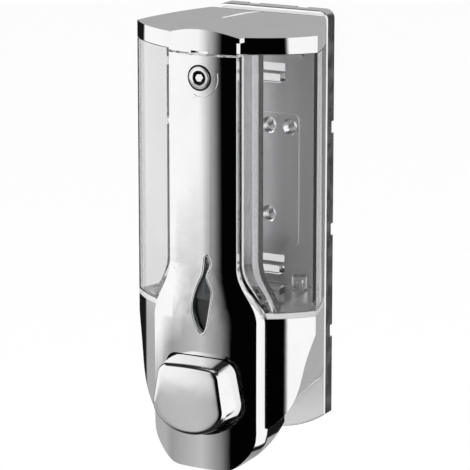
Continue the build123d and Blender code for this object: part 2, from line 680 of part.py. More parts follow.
# ---- pump ----
with BuildPart() as pump_cylinder:
    with BuildSketch(Plane.XZ.offset(30.6)):
        with Locations((0, PUMP_Z)):
            Circle(BORE_R + 2.2)
    extrude(amount=59.5 - 30.6)
    with BuildSketch(Plane.XZ.offset(57.5)):
        with Locations((0, PUMP_Z)):
            Circle(13.0)
    extrude(amount=2.0)
    # inlet socket above, outlet stub below
    with BuildSketch(Plane.XY.offset(PUMP_Z)):
        with Locations((0, PORT_Y)):
            Circle(9.2)
    extrude(amount=26.0)
    with BuildSketch(Plane.XY.offset(PUMP_Z)):
        with Locations((0, PORT_Y)):
            Circle(6.0)
    extrude(amount=-20.5)
    with BuildSketch(Plane.XY.offset(PUMP_Z + 14.0)):
        with Locations((0, PORT_Y)):
            Circle(7.4)
    extrude(amount=12.0, mode=Mode.SUBTRACT)
    with BuildSketch(Plane.XY.offset(PUMP_Z - 20.5)):
        with Locations((0, PORT_Y)):
            Circle(4.0)
    extrude(amount=9.0, mode=Mode.SUBTRACT)
    with BuildSketch(Plane.XY.offset(PUMP_Z - 12.0)):
        with Locations((0, PORT_Y)):
            Circle(2.0)
    extrude(amount=27.0, mode=Mode.SUBTRACT)
    with BuildSketch(Plane.XZ.offset(33.0)):
        with Locations((0, PUMP_Z)):
            Circle(BORE_R)
    extrude(amount=30, mode=Mode.SUBTRACT)
finish(pump_cylinder, "pump_cylinder")

with BuildPart() as pump_gland:
    with BuildSketch(Plane.XZ.offset(57.0)):
        with Locations((0, PUMP_Z)):
            Circle(BORE_R)
    extrude(amount=2.5)
    with BuildSketch(Plane.XZ.offset(59.5)):
        with Locations((0, PUMP_Z)):
            Circle(11.0)
    extrude(amount=2.9)
    with BuildSketch(Plane.XZ.offset(50)):
        with Locations((0, PUMP_Z)):
            Circle(ROD_R + 0.05)
    extrude(amount=20, mode=Mode.SUBTRACT)
finish(pump_gland, "pump_gland")

with BuildPart() as tank_gasket:
    with BuildSketch(Plane.XY.offset(RIM - 11.5)):
        with Locations((0, PORT_Y)):
            Circle(7.4)
            Circle(6.5, mode=Mode.SUBTRACT)
    extrude(amount=2.4)
finish(tank_gasket, "tank_gasket")

with BuildPart() as inlet_valve:
    with BuildSketch(Plane.XY.offset(PUMP_Z + 14.0)):
        with Locations((0, PORT_Y)):
            Circle(5.2)
    extrude(amount=0.9)
    with BuildSketch(Plane.XY.offset(PUMP_Z + 14.0)):
        with Locations((0, PORT_Y)):
            Circle(1.2)
    extrude(amount=-3.5)
finish(inlet_valve, "inlet_valve")

with BuildPart() as outlet_valve:
    with BuildSketch(Plane.XY.offset(PUMP_Z - 11.5)):
        with Locations((0, PORT_Y)):
            Circle(4.0)
    extrude(amount=-2.0)
    with BuildSketch(Plane.XY.offset(PUMP_Z - 13.5)):
        with Locations((0, PORT_Y)):
            Circle(3.0)
    with BuildSketch(Plane.XY.offset(PUMP_Z - 18.5)):
        with Locations((0, PORT_Y)):
            Rectangle(5.0, 0.8)
    loft()
    with BuildSketch(Plane.XY.offset(PUMP_Z - 14.5)):
        with Locations((0, PORT_Y)):
            Circle(1.8)
    extrude(amount=4.0, mode=Mode.SUBTRACT)
finish(outlet_valve, "outlet_valve")

with BuildPart() as nozzle:
    # flange, cut to lie on the sloping underside of the bowl
    with BuildSketch(Plane.XY.offset(BOWL_BOTTOM + 4)):
        with Locations((0, PORT_Y)):
            Circle(8.2)
    extrude(amount=-6.2)
    add(bowl_form(), mode=Mode.SUBTRACT)
    with BuildSketch(Plane.XY.offset(BOWL_BOTTOM - 2.2)):
        with Locations((0, PORT_Y)):
            Circle(7.6)
    extrude(amount=-4.0)
    with BuildSketch(Plane.XY.offset(BOWL_BOTTOM - 6.2)):
        with Locations((0, PORT_Y)):
            Circle(4.6)
    extrude(amount=-6.0, taper=8)
    with BuildSketch(Plane.XY.offset(BOWL_BOTTOM + 4)):
        with Locations((0, PORT_Y)):
            Circle(6.0)
    extrude(amount=-8.5, mode=Mode.SUBTRACT)
    with BuildSketch(Plane.XY.offset(BOWL_BOTTOM)):
        with Locations((0, PORT_Y)):
            Circle(2.2)
    extrude(amount=-20, mode=Mode.SUBTRACT)
finish(nozzle, "nozzle")

# ---- chassis: an upright plate behind the button and a shelf under the tank ----
with BuildPart() as chassis:
    with BuildSketch(Plane.XZ.offset(-CHASSIS_Y - CHASSIS_T)):
        with Locations((0, (RIM - 126.5) / 2)):
            Rectangle(47.0, 126.5 + RIM)
        with Locations((0, PUMP_Z)):
            Circle(BORE_R + 2.3, mode=Mode.SUBTRACT)
        # room for the button's ears
        with Locations((-22.0, PUMP_Z), (22.0, PUMP_Z)):
            Rectangle(10.0, 10.0, mode=Mode.SUBTRACT)
    extrude(amount=CHASSIS_T)
    with BuildSketch(Plane.XY.offset(RIM)):
        with Locations((0, -38.0)):
            Rectangle(50.0, 2 * 19.5)
        with Locations((0, PORT_Y)):
            Circle(9.6, mode=Mode.SUBTRACT)
    extrude(amount=-CHASSIS_T)
    with BuildSketch(Plane.XZ.offset(-CHASSIS_Y - CHASSIS_T)):
        with Locations(*BOSSES):
            Circle(1.3)
    extrude(amount=CHASSIS_T, mode=Mode.SUBTRACT)
    with BuildSketch(Plane.XY.offset(RIM)):
        with Locations(*FLOOR_BOSSES):
            Circle(1.3)
    extrude(amount=-CHASSIS_T, mode=Mode.SUBTRACT)
finish(chassis, "chassis")

with BuildPart() as chassis_screws:
    with BuildSketch(Plane.XZ.offset(-CHASSIS_Y - CHASSIS_T - 1.6)):
        with Locations(*BOSSES):
            Circle(2.6)
    extrude(amount=1.6)
    with BuildSketch(Plane.XZ.offset(-CHASSIS_Y - CHASSIS_T)):
        with Locations(*BOSSES):
            Circle(1.3)
    extrude(amount=CHASSIS_T + 8.0)
finish(chassis_screws, "chassis_screws")

with BuildPart() as tank_screws:
    with BuildSketch(Plane.XY.offset(RIM - CHASSIS_T)):
        with Locations(*FLOOR_BOSSES):
            Circle(2.6)
    extrude(amount=-1.6)
    with BuildSketch(Plane.XY.offset(RIM - CHASSIS_T)):
        with Locations(*FLOOR_BOSSES):
            Circle(1.3)
    extrude(amount=CHASSIS_T + 6.0)
finish(tank_screws, "tank_screws")
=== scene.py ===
from math import atan2, cos, hypot, pi, radians, sin, sqrt

import bmesh
import bpy
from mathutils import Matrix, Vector


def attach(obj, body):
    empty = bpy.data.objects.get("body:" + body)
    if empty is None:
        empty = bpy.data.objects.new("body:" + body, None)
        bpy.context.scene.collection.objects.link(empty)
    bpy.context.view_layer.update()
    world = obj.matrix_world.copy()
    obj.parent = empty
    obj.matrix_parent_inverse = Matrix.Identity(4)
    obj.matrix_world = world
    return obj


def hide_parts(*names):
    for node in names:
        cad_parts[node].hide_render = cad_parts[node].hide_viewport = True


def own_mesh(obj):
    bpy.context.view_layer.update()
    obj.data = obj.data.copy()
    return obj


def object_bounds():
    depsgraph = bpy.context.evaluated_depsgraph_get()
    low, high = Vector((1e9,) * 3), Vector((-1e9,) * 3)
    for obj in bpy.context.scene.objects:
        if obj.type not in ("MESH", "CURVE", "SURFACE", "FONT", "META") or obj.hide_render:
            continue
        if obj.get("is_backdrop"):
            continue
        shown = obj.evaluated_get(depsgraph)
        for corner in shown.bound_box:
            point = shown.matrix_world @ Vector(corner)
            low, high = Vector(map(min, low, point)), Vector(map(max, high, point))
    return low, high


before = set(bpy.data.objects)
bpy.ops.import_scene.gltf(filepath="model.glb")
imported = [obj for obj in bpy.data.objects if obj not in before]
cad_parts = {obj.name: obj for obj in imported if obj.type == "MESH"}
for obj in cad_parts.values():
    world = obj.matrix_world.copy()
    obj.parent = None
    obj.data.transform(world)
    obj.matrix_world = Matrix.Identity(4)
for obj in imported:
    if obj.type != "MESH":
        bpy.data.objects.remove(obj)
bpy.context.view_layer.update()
MM = 0.001


# ---- wall plate ----
# The back plate is a shallow ABS tray, injection moulded and chrome plated. A wide boss and
# a round one reach the wall and take four screws, and two slots hang the tank.
PLATE_EDGE = 0.5 * MM
PLATE_SATIN_Y = -7.3 * MM  # in front of this the plating is satin


def new_material(name):
    """An empty node material with one Principled shader, and its Object coordinates."""
    material = bpy.data.materials.new(name)
    material.use_nodes = True
    nodes, links = material.node_tree.nodes, material.node_tree.links
    shader = nodes["Principled BSDF"]
    place = nodes.new("ShaderNodeTexCoord").outputs["Object"]
    return material, nodes, links, shader, place


def noise_between(nodes, links, place, scale, detail, low, high):
    """Fine noise on the piece, mapped to run from low to high."""
    noise = nodes.new("ShaderNodeTexNoise")
    noise.inputs["Scale"].default_value = scale
    noise.inputs["Detail"].default_value = detail
    links.new(place, noise.inputs["Vector"])
    span = nodes.new("ShaderNodeMapRange")
    span.inputs["From Min"].default_value = 0.3
    span.inputs["From Max"].default_value = 0.7
    span.inputs["To Min"].default_value = low
    span.inputs["To Max"].default_value = high
    links.new(noise.outputs["Fac"], span.inputs["Value"])
    return span.outputs["Result"]


def add_relief(nodes, links, shader, height, depth, strength):
    """Bump of a real depth, in metres, from a height that runs from 0 to 1."""
    bump = nodes.new("ShaderNodeBump")
    bump.inputs["Strength"].default_value = strength
    bump.inputs["Distance"].default_value = depth
    links.new(height, bump.inputs["Height"])
    links.new(bump.outputs["Normal"], shader.inputs["Normal"])


def tinted(nodes, links, value, dark, light):
    """A colour that runs from dark to light as value goes from 0 to 1."""
    mix = nodes.new("ShaderNodeMix")
    mix.data_type = "RGBA"
    mix.inputs["A"].default_value = (*dark, 1)
    mix.inputs["B"].default_value = (*light, 1)
    links.new(value, mix.inputs["Factor"])
    return mix.outputs["Result"]


def chrome_plate(name, dark, light, smooth, worn, peel):
    """Bright plating: faint orange peel from the moulding below, and wiped, slightly uneven gloss."""
    material, nodes, links, shader, place = new_material(name)
    shader.inputs["Metallic"].default_value = 1.0
    smear = noise_between(nodes, links, place, 45, 4, 0, 1)
    links.new(tinted(nodes, links, smear, dark, light), shader.inputs["Base Color"])
    links.new(noise_between(nodes, links, place, 160, 5, smooth, worn), shader.inputs["Roughness"])
    add_relief(nodes, links, shader, noise_between(nodes, links, place, 110, 2, 0, 1), peel, 0.5)
    return material


def welded_shape(node):
    """A moulding's own shape, with its seams welded and its flat faces made whole."""
    shape = bmesh.new()
    shape.from_mesh(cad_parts[node].data)
    bmesh.ops.remove_doubles(shape, verts=shape.verts, dist=0.002 * MM)
    bmesh.ops.dissolve_limit(shape, angle_limit=radians(0.6), verts=shape.verts, edges=shape.edges)
    return shape


def welded_copy(node, name):
    """A new piece with a moulding's own shape."""
    return finished(welded_shape(node), name)


def finished(shape, name, crease=28):
    """Turns a bmesh into an object, smooth except over its sharp edges."""
    for face in shape.faces:
        face.smooth = True
    for edge in shape.edges:
        edge.smooth = edge.calc_face_angle(0) < radians(crease)
    mesh = bpy.data.meshes.new(name)
    shape.to_mesh(mesh)
    shape.free()
    piece = bpy.data.objects.new(name, mesh)
    bpy.context.scene.collection.objects.link(piece)
    return piece


def soften(piece, width, segments=2, angle=30):
    """Rounds a moulding's edges with a live bevel."""
    bevel = piece.modifiers.new("edge", "BEVEL")
    bevel.width = width
    bevel.segments = segments
    bevel.limit_method = "ANGLE"
    bevel.angle_limit = radians(angle)
    bevel.harden_normals = True
    bevel.use_clamp_overlap = True


def dress(piece, material):
    """Gives a piece its one material."""
    piece.data.materials.clear()
    piece.data.materials.append(material)


def place_piece(piece, body, node, material):
    """Dresses a piece, hangs it on its body and lets it stand for its CAD node."""
    dress(piece, material)
    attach(piece, body)
    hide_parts(node)


def masked(material, build, **changes):
    """Changes some of a material's values inside a region. build makes the region's mask from X, Y and Z."""
    nodes, links = material.node_tree.nodes, material.node_tree.links
    shader = nodes["Principled BSDF"]
    split = nodes.new("ShaderNodeSeparateXYZ")
    links.new(nodes.new("ShaderNodeTexCoord").outputs["Object"], split.inputs[0])

    def step(operation, first, second=0.0):
        node = nodes.new("ShaderNodeMath")
        node.operation = operation
        for socket, value in zip(node.inputs, (first, second)):
            if isinstance(value, (int, float)):
                socket.default_value = value
            else:
                links.new(value, socket)
        return node.outputs[0]

    region = build(step, split.outputs["X"], split.outputs["Y"], split.outputs["Z"])
    for name, value in changes.items():
        socket = shader.inputs[name.replace("_", " ")]
        mix = nodes.new("ShaderNodeMix")
        mix.data_type = "RGBA" if isinstance(value, tuple) else "FLOAT"
        ins = [i for i in mix.inputs if i.enabled]
        outs = [o for o in mix.outputs if o.enabled]
        if socket.links:
            links.new(socket.links[0].from_socket, ins[1])
        else:
            ins[1].default_value = socket.default_value
        ins[2].default_value = (*value, 1) if isinstance(value, tuple) else value
        links.new(region, ins[0])
        links.new(outs[0], socket)


plate_chrome = chrome_plate("plate_chrome", (0.90, 0.90, 0.90), (0.97, 0.97, 0.97), 0.16, 0.24, 0.03 * MM)
masked(plate_chrome, lambda step, x, y, z: step("LESS_THAN", y, PLATE_SATIN_Y), Metallic=0.45,
       Base_Color=(0.97, 0.97, 0.97), Roughness=0.3)
plate = welded_copy("wall_plate", "chromed_wall_plate")
soften(plate, PLATE_EDGE)
place_piece(plate, "housing", "wall_plate", plate_chrome)


# ---- tank ----
# The tank is one clear SAN moulding with a wall of two and a half millimetres. Its two rear
# hooks drop into the plate's slots, and its mouth is open under the lid.
def clear_plastic(name, tint, rough, flow):
    """Clear moulded plastic, with the faint flow marks of the mould."""
    material, nodes, links, shader, place = new_material(name)
    shader.inputs["Transmission Weight"].default_value = 1.0
    shader.inputs["IOR"].default_value = 1.5
    haze = noise_between(nodes, links, place, 30, 3, 0, 1)
    darker = tuple(c * 0.97 for c in tint)
    links.new(tinted(nodes, links, haze, darker, tint), shader.inputs["Base Color"])
    links.new(noise_between(nodes, links, place, 70, 4, rough * 0.5, rough * 1.5), shader.inputs["Roughness"])
    add_relief(nodes, links, shader, noise_between(nodes, links, place, 40, 2, 0, 1), flow, 0.4)
    return material


FLOOR_TOP = -70.9 * MM
tank = welded_copy("tank", "clear_tank_shell")
soften(tank, 0.3 * MM)
tank_plastic = clear_plastic("clear_tank", (0.88, 0.88, 0.885), 0.015, 0.02 * MM)
# the thick floor and its edge scatter light
masked(tank_plastic, lambda step, x, y, z: step("LESS_THAN", z, FLOOR_TOP),
       Transmission_Weight=0.45, Base_Color=(0.93, 0.93, 0.93), Roughness=0.3)
place_piece(tank, "housing", "tank", tank_plastic)


# ---- chassis ----
# A white moulded frame behind the column: its upright plate is screwed to four bosses of the
# column, and its shelf carries the tank on four more screws.
def moulded_plastic(name, dark, light, gloss_low, gloss_high, texture):
    """Opaque moulded plastic with a fine spark-eroded grain and slightly uneven colour."""
    material, nodes, links, shader, place = new_material(name)
    cloud = noise_between(nodes, links, place, 35, 4, 0, 1)
    links.new(tinted(nodes, links, cloud, dark, light), shader.inputs["Base Color"])
    links.new(noise_between(nodes, links, place, 240, 3, gloss_low, gloss_high), shader.inputs["Roughness"])
    add_relief(nodes, links, shader, noise_between(nodes, links, place, 1600, 2, 0, 1), texture, 0.5)
    return material


def plated_steel(name, dark, light, smooth, worn):
    """Zinc plated steel: a faint crystal mottle and turning marks too fine to see one by one."""
    material, nodes, links, shader, place = new_material(name)
    shader.inputs["Metallic"].default_value = 1.0
    mottle = nodes.new("ShaderNodeTexVoronoi")
    mottle.inputs["Scale"].default_value = 900
    links.new(place, mottle.inputs["Vector"])
    links.new(tinted(nodes, links, mottle.outputs["Distance"], dark, light), shader.inputs["Base Color"])
    links.new(noise_between(nodes, links, place, 500, 3, smooth, worn), shader.inputs["Roughness"])
    add_relief(nodes, links, shader, noise_between(nodes, links, place, 1200, 2, 0, 1), 0.01 * MM, 0.4)
    return material


white_plastic = moulded_plastic("white_plastic", (0.80, 0.80, 0.79), (0.87, 0.87, 0.86), 0.32, 0.48,
                                0.02 * MM)
zinc_plate = plated_steel("zinc_plate", (0.55, 0.55, 0.56), (0.74, 0.74, 0.75), 0.22, 0.36)
chassis = welded_copy("chassis", "moulded_chassis")
soften(chassis, 0.35 * MM)
place_piece(chassis, "housing", "chassis", white_plastic)
for screws in ("chassis_screws", "tank_screws"):
    dress(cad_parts[screws], zinc_plate)


# ---- pump ----
# A white cylinder lies behind the button. Soap drops in through an umbrella valve under the
# tank's spout, and the piston presses it out through a duckbill valve and the grey nozzle.
def rubber(name, tone, grain):
    """Moulded rubber: dull, with a fine skin and a little bloom."""
    material, nodes, links, shader, place = new_material(name)
    bloom = noise_between(nodes, links, place, 90, 5, 0, 1)
    links.new(tinted(nodes, links, bloom, tone, tuple(c * 1.25 for c in tone)), shader.inputs["Base Color"])
    links.new(noise_between(nodes, links, place, 400, 3, 0.45, 0.65), shader.inputs["Roughness"])
    add_relief(nodes, links, shader, noise_between(nodes, links, place, 2200, 2, 0, 1), grain, 0.6)
    return material


black_rubber = rubber("black_rubber", (0.025, 0.025, 0.025), 0.02 * MM)
silicone = rubber("pale_silicone", (0.66, 0.66, 0.64), 0.01 * MM)
grey_plastic = moulded_plastic("grey_plastic", (0.46, 0.47, 0.48), (0.54, 0.55, 0.56), 0.22, 0.34, 0.01 * MM)
for node in ("pump_cylinder", "pump_gland", "pump_piston"):
    dress(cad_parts[node], white_plastic)
for node in ("piston_seal", "tank_gasket"):
    dress(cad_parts[node], black_rubber)
for node in ("inlet_valve", "outlet_valve"):
    dress(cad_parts[node], silicone)
nozzle = welded_copy("nozzle", "moulded_nozzle")
soften(nozzle, 0.35 * MM)
place_piece(nozzle, "housing", "nozzle", grey_plastic)

# ---- return spring ----
# A stainless compression spring round the piston rod, between the gland and the button's
# stem. It shortens as the button goes in.
COIL_R, WIRE_R, TURNS = 6.2 * MM, 0.45 * MM, 6
COIL_FIXED, COIL_LOOSE = -63.0 * MM, -77.5 * MM
PUMP_Z = -108.0 * MM
COIL_STEPS, WIRE_SIDES = 40, 10
coil = bmesh.new()
rings = []
for step in range(TURNS * COIL_STEPS + 1):
    turn = 2 * pi * step / COIL_STEPS
    along = COIL_FIXED + (COIL_LOOSE - COIL_FIXED) * step / (TURNS * COIL_STEPS)
    ring = []
    for side in range(WIRE_SIDES):
        corner = 2 * pi * side / WIRE_SIDES
        reach = COIL_R + WIRE_R * cos(corner)
        spot = (reach * cos(turn), along + WIRE_R * sin(corner), PUMP_Z + reach * sin(turn))
        ring.append(coil.verts.new(spot))
    rings.append(ring)
for first, second in zip(rings, rings[1:]):
    for side in range(WIRE_SIDES):
        after = (side + 1) % WIRE_SIDES
        coil.faces.new((first[side], first[after], second[after], second[side]))
coil.faces.new(rings[0])
coil.faces.new(rings[-1])
bmesh.ops.recalc_face_normals(coil, faces=coil.faces)
spring = finished(coil, "return_spring")
stainless = plated_steel("stainless_wire", (0.52, 0.52, 0.53), (0.68, 0.68, 0.69), 0.18, 0.28)
place_piece(spring, "housing", "button_spring", stainless)
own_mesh(spring)

# ---- bowl ----
# The bowl under the tank is chrome plated ABS, polished before plating, so it mirrors
# sharply. Its front is cut open for the column.
bright_chrome = chrome_plate("bright_chrome", (0.90, 0.90, 0.90), (0.96, 0.96, 0.96), 0.015, 0.04, 0.012 * MM)
bowl = welded_copy("lower_bowl", "chromed_bowl")
soften(bowl, 0.4 * MM)
place_piece(bowl, "housing", "lower_bowl", bright_chrome)

# ---- column ----
# The fascia is one chromed ABS shell with a round front and leaning flanks. Lock, level
# window and button sit in its openings, and its back is open inside.
LOCK_Z = 32.5 * MM
SEAT_R = 5.72 * MM
SEAT_FACE = -75.4 * MM
column_chrome = chrome_plate("column_chrome", (0.90, 0.90, 0.90), (0.96, 0.96, 0.96), 0.015, 0.04, 0.012 * MM)


def inside_lock(radius, face_y):
    """The mask of everything within a radius of the lock's axis and behind a level."""
    def build(step, x, y, z):
        up = step("SUBTRACT", z, LOCK_Z)
        away = step("SQRT", step("ADD", step("MULTIPLY", x, x), step("MULTIPLY", up, up)))
        return step("MULTIPLY", step("LESS_THAN", away, radius), step("GREATER_THAN", y, face_y))
    return build


# the bottom of the lock's seat is painted dull black, as painted shade in the recess
masked(column_chrome, inside_lock(SEAT_R + 0.1 * MM, SEAT_FACE), Metallic=0.0, Base_Color=(0.02, 0.02, 0.02))
TOP_GAP = 0.7 * MM
WINDOW_X, WINDOW_LOW, WINDOW_HIGH = 7.5 * MM, -82.0 * MM, -44.5 * MM
WINDOW_R, WINDOW_FACE = 52.0 * MM, -76.0 * MM
WINDOW_REAR, SHARP = -75.2 * MM, radians(50)
COLUMN_TOP = 42.7 * MM
# the lip's section: how far outside the opening, and how far behind the face
LIP = ((1.0, 0.05), (0.85, -0.13), (0.6, -0.2), (0.35, -0.13), (0.12, 0.1), (0.0, 0.5), (-0.04, 1.5))


def window_loop(shape):
    """The front edge of the window opening, as points in order round it."""
    ways = {}
    for edge in shape.edges:
        ends = [vert.co for vert in edge.verts]
        beside = all(abs(co.x) < WINDOW_X and WINDOW_LOW < co.z < WINDOW_HIGH for co in ends)
        if beside and all(co.y < WINDOW_REAR for co in ends):
            if edge.calc_face_angle(0) > SHARP:
                for vert, other in (edge.verts, reversed(edge.verts)):
                    ways.setdefault(vert, []).append(other)
    start = next(iter(ways))
    loop, last = [start], None
    while True:
        onward = [vert for vert in ways[loop[-1]] if vert is not last]
        if not onward or onward[0] is start or len(loop) > len(ways):
            return [(vert.co.x, vert.co.z) for vert in loop]
        last = loop[-1]
        loop.append(onward[0])


def add_lip(shape):
    """A rolled lip round the window opening."""
    loop = window_loop(shape)
    count = len(loop)
    turning = sum(a[0] * b[1] - b[0] * a[1] for a, b in zip(loop, loop[1:] + loop[:1]))
    if turning < 0:
        loop.reverse()
    rings = []
    for outside, behind in LIP:
        ring = []
        for k, (x, z) in enumerate(loop):
            (px, pz), (nx, nz) = loop[k - 2], loop[(k + 2) % count]
            ex, ez = nx - px, nz - pz
            length = hypot(ex, ez)
            x += ez / length * outside * MM
            z -= ex / length * outside * MM
            face = WINDOW_FACE + WINDOW_R - sqrt(WINDOW_R * WINDOW_R - x * x)
            ring.append(shape.verts.new((x, face + behind * MM, z)))
        rings.append(ring)
    for first, second in zip(rings, rings[1:]):
        for k in range(count):
            shape.faces.new((first[k], first[(k + 1) % count], second[(k + 1) % count], second[k]))


column_shape = welded_shape("front_column")
add_lip(column_shape)
column = finished(column_shape, "chromed_column", 40)
for vert in column.data.vertices:
    if vert.co.z > COLUMN_TOP:
        vert.co.z -= TOP_GAP
soften(column, 0.5 * MM)
place_piece(column, "housing", "front_column", column_chrome)

# ---- open and shut mark ----
# A raised arc with an arrow head at each end lies half round the lock, moulded with the
# column. It shows which way the lock turns.
MARK_R, MARK_WIDTH, MARK_RISE = 8.3 * MM, 0.45 * MM, 0.25 * MM
MARK_FROM, MARK_TO, MARK_STEPS = radians(-118), radians(28), 48
HEAD_LENGTH, HEAD_WIDTH = 2.0 * MM, 1.1 * MM
NECK_R, COLUMN_FACE = 45.0 * MM, -76.0 * MM


def on_column(x, z, rise):
    """A point on the column's round front, raised by a little."""
    reach = NECK_R + rise
    return (x, COLUMN_FACE + NECK_R - sqrt(reach * reach - x * x), z)


mark = bmesh.new()
rows = []
for step in range(MARK_STEPS + 1):
    turn = MARK_FROM + (MARK_TO - MARK_FROM) * step / MARK_STEPS
    run = min(step, MARK_STEPS - step) * (MARK_TO - MARK_FROM) / MARK_STEPS * MARK_R
    half = HEAD_WIDTH * run / HEAD_LENGTH if run < HEAD_LENGTH else MARK_WIDTH
    half = max(half, 0.03 * MM)
    row = []
    for radius, rise in ((MARK_R - half, -0.1 * MM), (MARK_R - half * 0.7, MARK_RISE),
                         (MARK_R + half * 0.7, MARK_RISE), (MARK_R + half, -0.1 * MM)):
        row.append(mark.verts.new(on_column(radius * cos(turn), LOCK_Z + radius * sin(turn), rise)))
    rows.append(row)
for first, second in zip(rows, rows[1:]):
    for k in range(4):
        mark.faces.new((first[k], first[(k + 1) % 4], second[(k + 1) % 4], second[k]))
mark.faces.new(rows[0])
mark.faces.new(rows[-1])
bmesh.ops.recalc_face_normals(mark, faces=mark.faces)
turn_mark = finished(mark, "turn_mark", 50)
dress(turn_mark, column_chrome)
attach(turn_mark, "housing")

# ---- level window ----
# A smoked clear lens, pushed into the column's S-shaped opening from behind. Its face lies
# a millimetre below the chrome.
LENS_SET_BACK = 0.9 * MM
LENS_FRONT = -73.6 * MM  # everything in front of this belongs to the face
lens = welded_copy("window_lens", "level_window_lens")
for vert in lens.data.vertices:
    if vert.co.y < LENS_FRONT:
        vert.co.y += LENS_SET_BACK
soften(lens, 0.2 * MM)
smoked_clear = clear_plastic("smoked_clear", (0.30, 0.31, 0.32), 0.03, 0.01 * MM)
place_piece(lens, "housing", "window_lens", smoked_clear)


# ---- lock ----
# A turned and polished zinc collar stands in the column's seat, held by a nut behind. The
# barrel inside has a round key way with a six-sided pin, and turns a flat cam.
LOCK_SIDES = 96
# radius and Y of each corner, in millimetres
COLLAR = ((4.35, -66.5), (5.0, -66.5), (5.0, -74.6), (4.98, -75.7), (4.8, -76.2), (4.35, -76.3))
BARREL = ((0.0, -65.5), (4.3, -65.5), (4.3, -76.2), (4.2, -76.34), (3.25, -76.4), (3.1, -76.25),
          (3.1, -73.0), (0.0, -73.0))
KEYWAY_R, KEYWAY_FACE = 3.16 * MM, -76.0 * MM


def turned(profile, centre_z, sides):
    """A shape turned about an axis along Y, from a closed profile of radius and Y in millimetres."""
    shape = bmesh.new()
    points = [shape.verts.new((radius * MM, along * MM, centre_z)) for radius, along in profile]
    outline = [shape.edges.new(pair) for pair in zip(points, points[1:] + points[:1])]
    bmesh.ops.spin(shape, geom=points + outline, cent=(0, 0, centre_z), axis=(0, 1, 0), angle=2 * pi,
                   steps=sides, use_merge=True, dvec=(0, 0, 0), use_normal_flip=False, use_duplicate=False)
    bmesh.ops.remove_doubles(shape, verts=shape.verts, dist=0.001 * MM)
    bmesh.ops.recalc_face_normals(shape, faces=shape.faces)
    return shape


lock_zinc = chrome_plate("lock_zinc", (0.93, 0.93, 0.94), (0.98, 0.98, 0.99), 0.06, 0.10, 0.01 * MM)
collar = finished(turned(COLLAR, LOCK_Z, LOCK_SIDES), "lock_collar")
place_piece(collar, "housing", "lock_housing", lock_zinc)
barrel_shape = turned(BARREL, LOCK_Z, LOCK_SIDES)
PIN_R, PIN_FACE, PIN_FOOT, PIN_EDGE = 1.95 * MM, -76.2 * MM, -72.9 * MM, 0.2 * MM
pin_rows = []
for along, radius in ((PIN_FOOT, PIN_R), (PIN_FACE + PIN_EDGE, PIN_R), (PIN_FACE, PIN_R - PIN_EDGE)):
    row = []
    for k in range(6):
        turn = k * pi / 3
        row.append(barrel_shape.verts.new((radius * cos(turn), along, LOCK_Z + radius * sin(turn))))
    pin_rows.append(row)
for first, second in zip(pin_rows, pin_rows[1:]):
    for k in range(6):
        barrel_shape.faces.new((first[k], first[(k + 1) % 6], second[(k + 1) % 6], second[k]))
barrel_shape.faces.new(pin_rows[-1])
barrel_shape.faces.new(pin_rows[0])
bmesh.ops.recalc_face_normals(barrel_shape, faces=barrel_shape.faces)
barrel = finished(barrel_shape, "lock_barrel_turned")
barrel_zinc = chrome_plate("barrel_zinc", (0.93, 0.93, 0.94), (0.98, 0.98, 0.99), 0.06, 0.10, 0.01 * MM)
# the inside of the key way round the pin is painted dull black, as painted shade in the hole
masked(barrel_zinc, inside_lock(KEYWAY_R, KEYWAY_FACE), Metallic=0.0, Base_Color=(0.02, 0.02, 0.02))
place_piece(barrel, "lock", "lock_barrel", barrel_zinc)
for node in ("lock_nut", "lock_cam", "cam_screw"):
    dress(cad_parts[node], zinc_plate)

# ---- button ----
# The button is a hollow chromed shield with a faintly domed face and softly rounded edges.
# Two ears behind the column keep it from coming out, and its stem holds the piston rod.

# Y and growth of each ring: first up the side, then how far it lies behind the domed face
SIDE_STEPS = ((-71.5, 2.7), (-78.0, 1.9), (-83.0, 1.3))
FACE_STEPS = ((3.0, 1.0), (1.9, 0.85), (1.1, 0.5), (0.55, 0.0), (0.2, -0.7), (0.05, -1.5), (0.0, -2.4),
              (0.0, -5.0), (0.0, -8.0), (0.0, -11.0))
FACE_PEAK, FACE_FALL = -88.4, 0.45
INNER_STEPS = ((-71.5, 0.5), (-80.0, -0.6), (-85.4, -2.2), (-85.7, -4.5), (-85.8, -7.5))
INNER_PEAK = -85.85
CROWN_Z, CROWN_FALL, CROWN_STEPS = -93.1, 0.4, 10  # the shield's slightly rounded top
FLANK_STEPS = 12
SHIELD_MIDDLE = -108.6
DOME_X, DOME_Z = 16, 15  # the dome falls by FACE_FALL over each of these
DEEPEST_INSET, SHRINK_LENGTH = 2.4, 15
# radius and Y round the stem's section
STEM = ((4.0, -86.2), (7.4, -86.2), (7.4, -78.3), (7.1, -78.0), (4.3, -78.0), (4.0, -78.3))
STEM_SIDES = 64
# opposite corners of the ear's neck and of the ear itself, on the right
EARS = (((18.0, -72.0, -111.0), (19.3, -66.6, -105.0)), ((18.0, -67.2, -112.0), (21.5, -65.8, -104.0)))


def arc_through(first, middle, last, count):
    """Points on the circle through three points, without the last."""
    (ax, az), (bx, bz), (cx, cz) = first, middle, last
    twice_area = 2 * (ax * (bz - cz) + bx * (cz - az) + cx * (az - bz))
    a, b, c = ax * ax + az * az, bx * bx + bz * bz, cx * cx + cz * cz
    ux = (a * (bz - cz) + b * (cz - az) + c * (az - bz)) / twice_area
    uz = (a * (cx - bx) + b * (ax - cx) + c * (bx - ax)) / twice_area
    start, end = atan2(az - uz, ax - ux), atan2(cz - uz, cx - ux)
    turn = (end - start + pi) % (2 * pi) - pi
    radius = hypot(ax - ux, az - uz)
    return [(ux + radius * cos(start + turn * k / count), uz + radius * sin(start + turn * k / count))
            for k in range(count)]


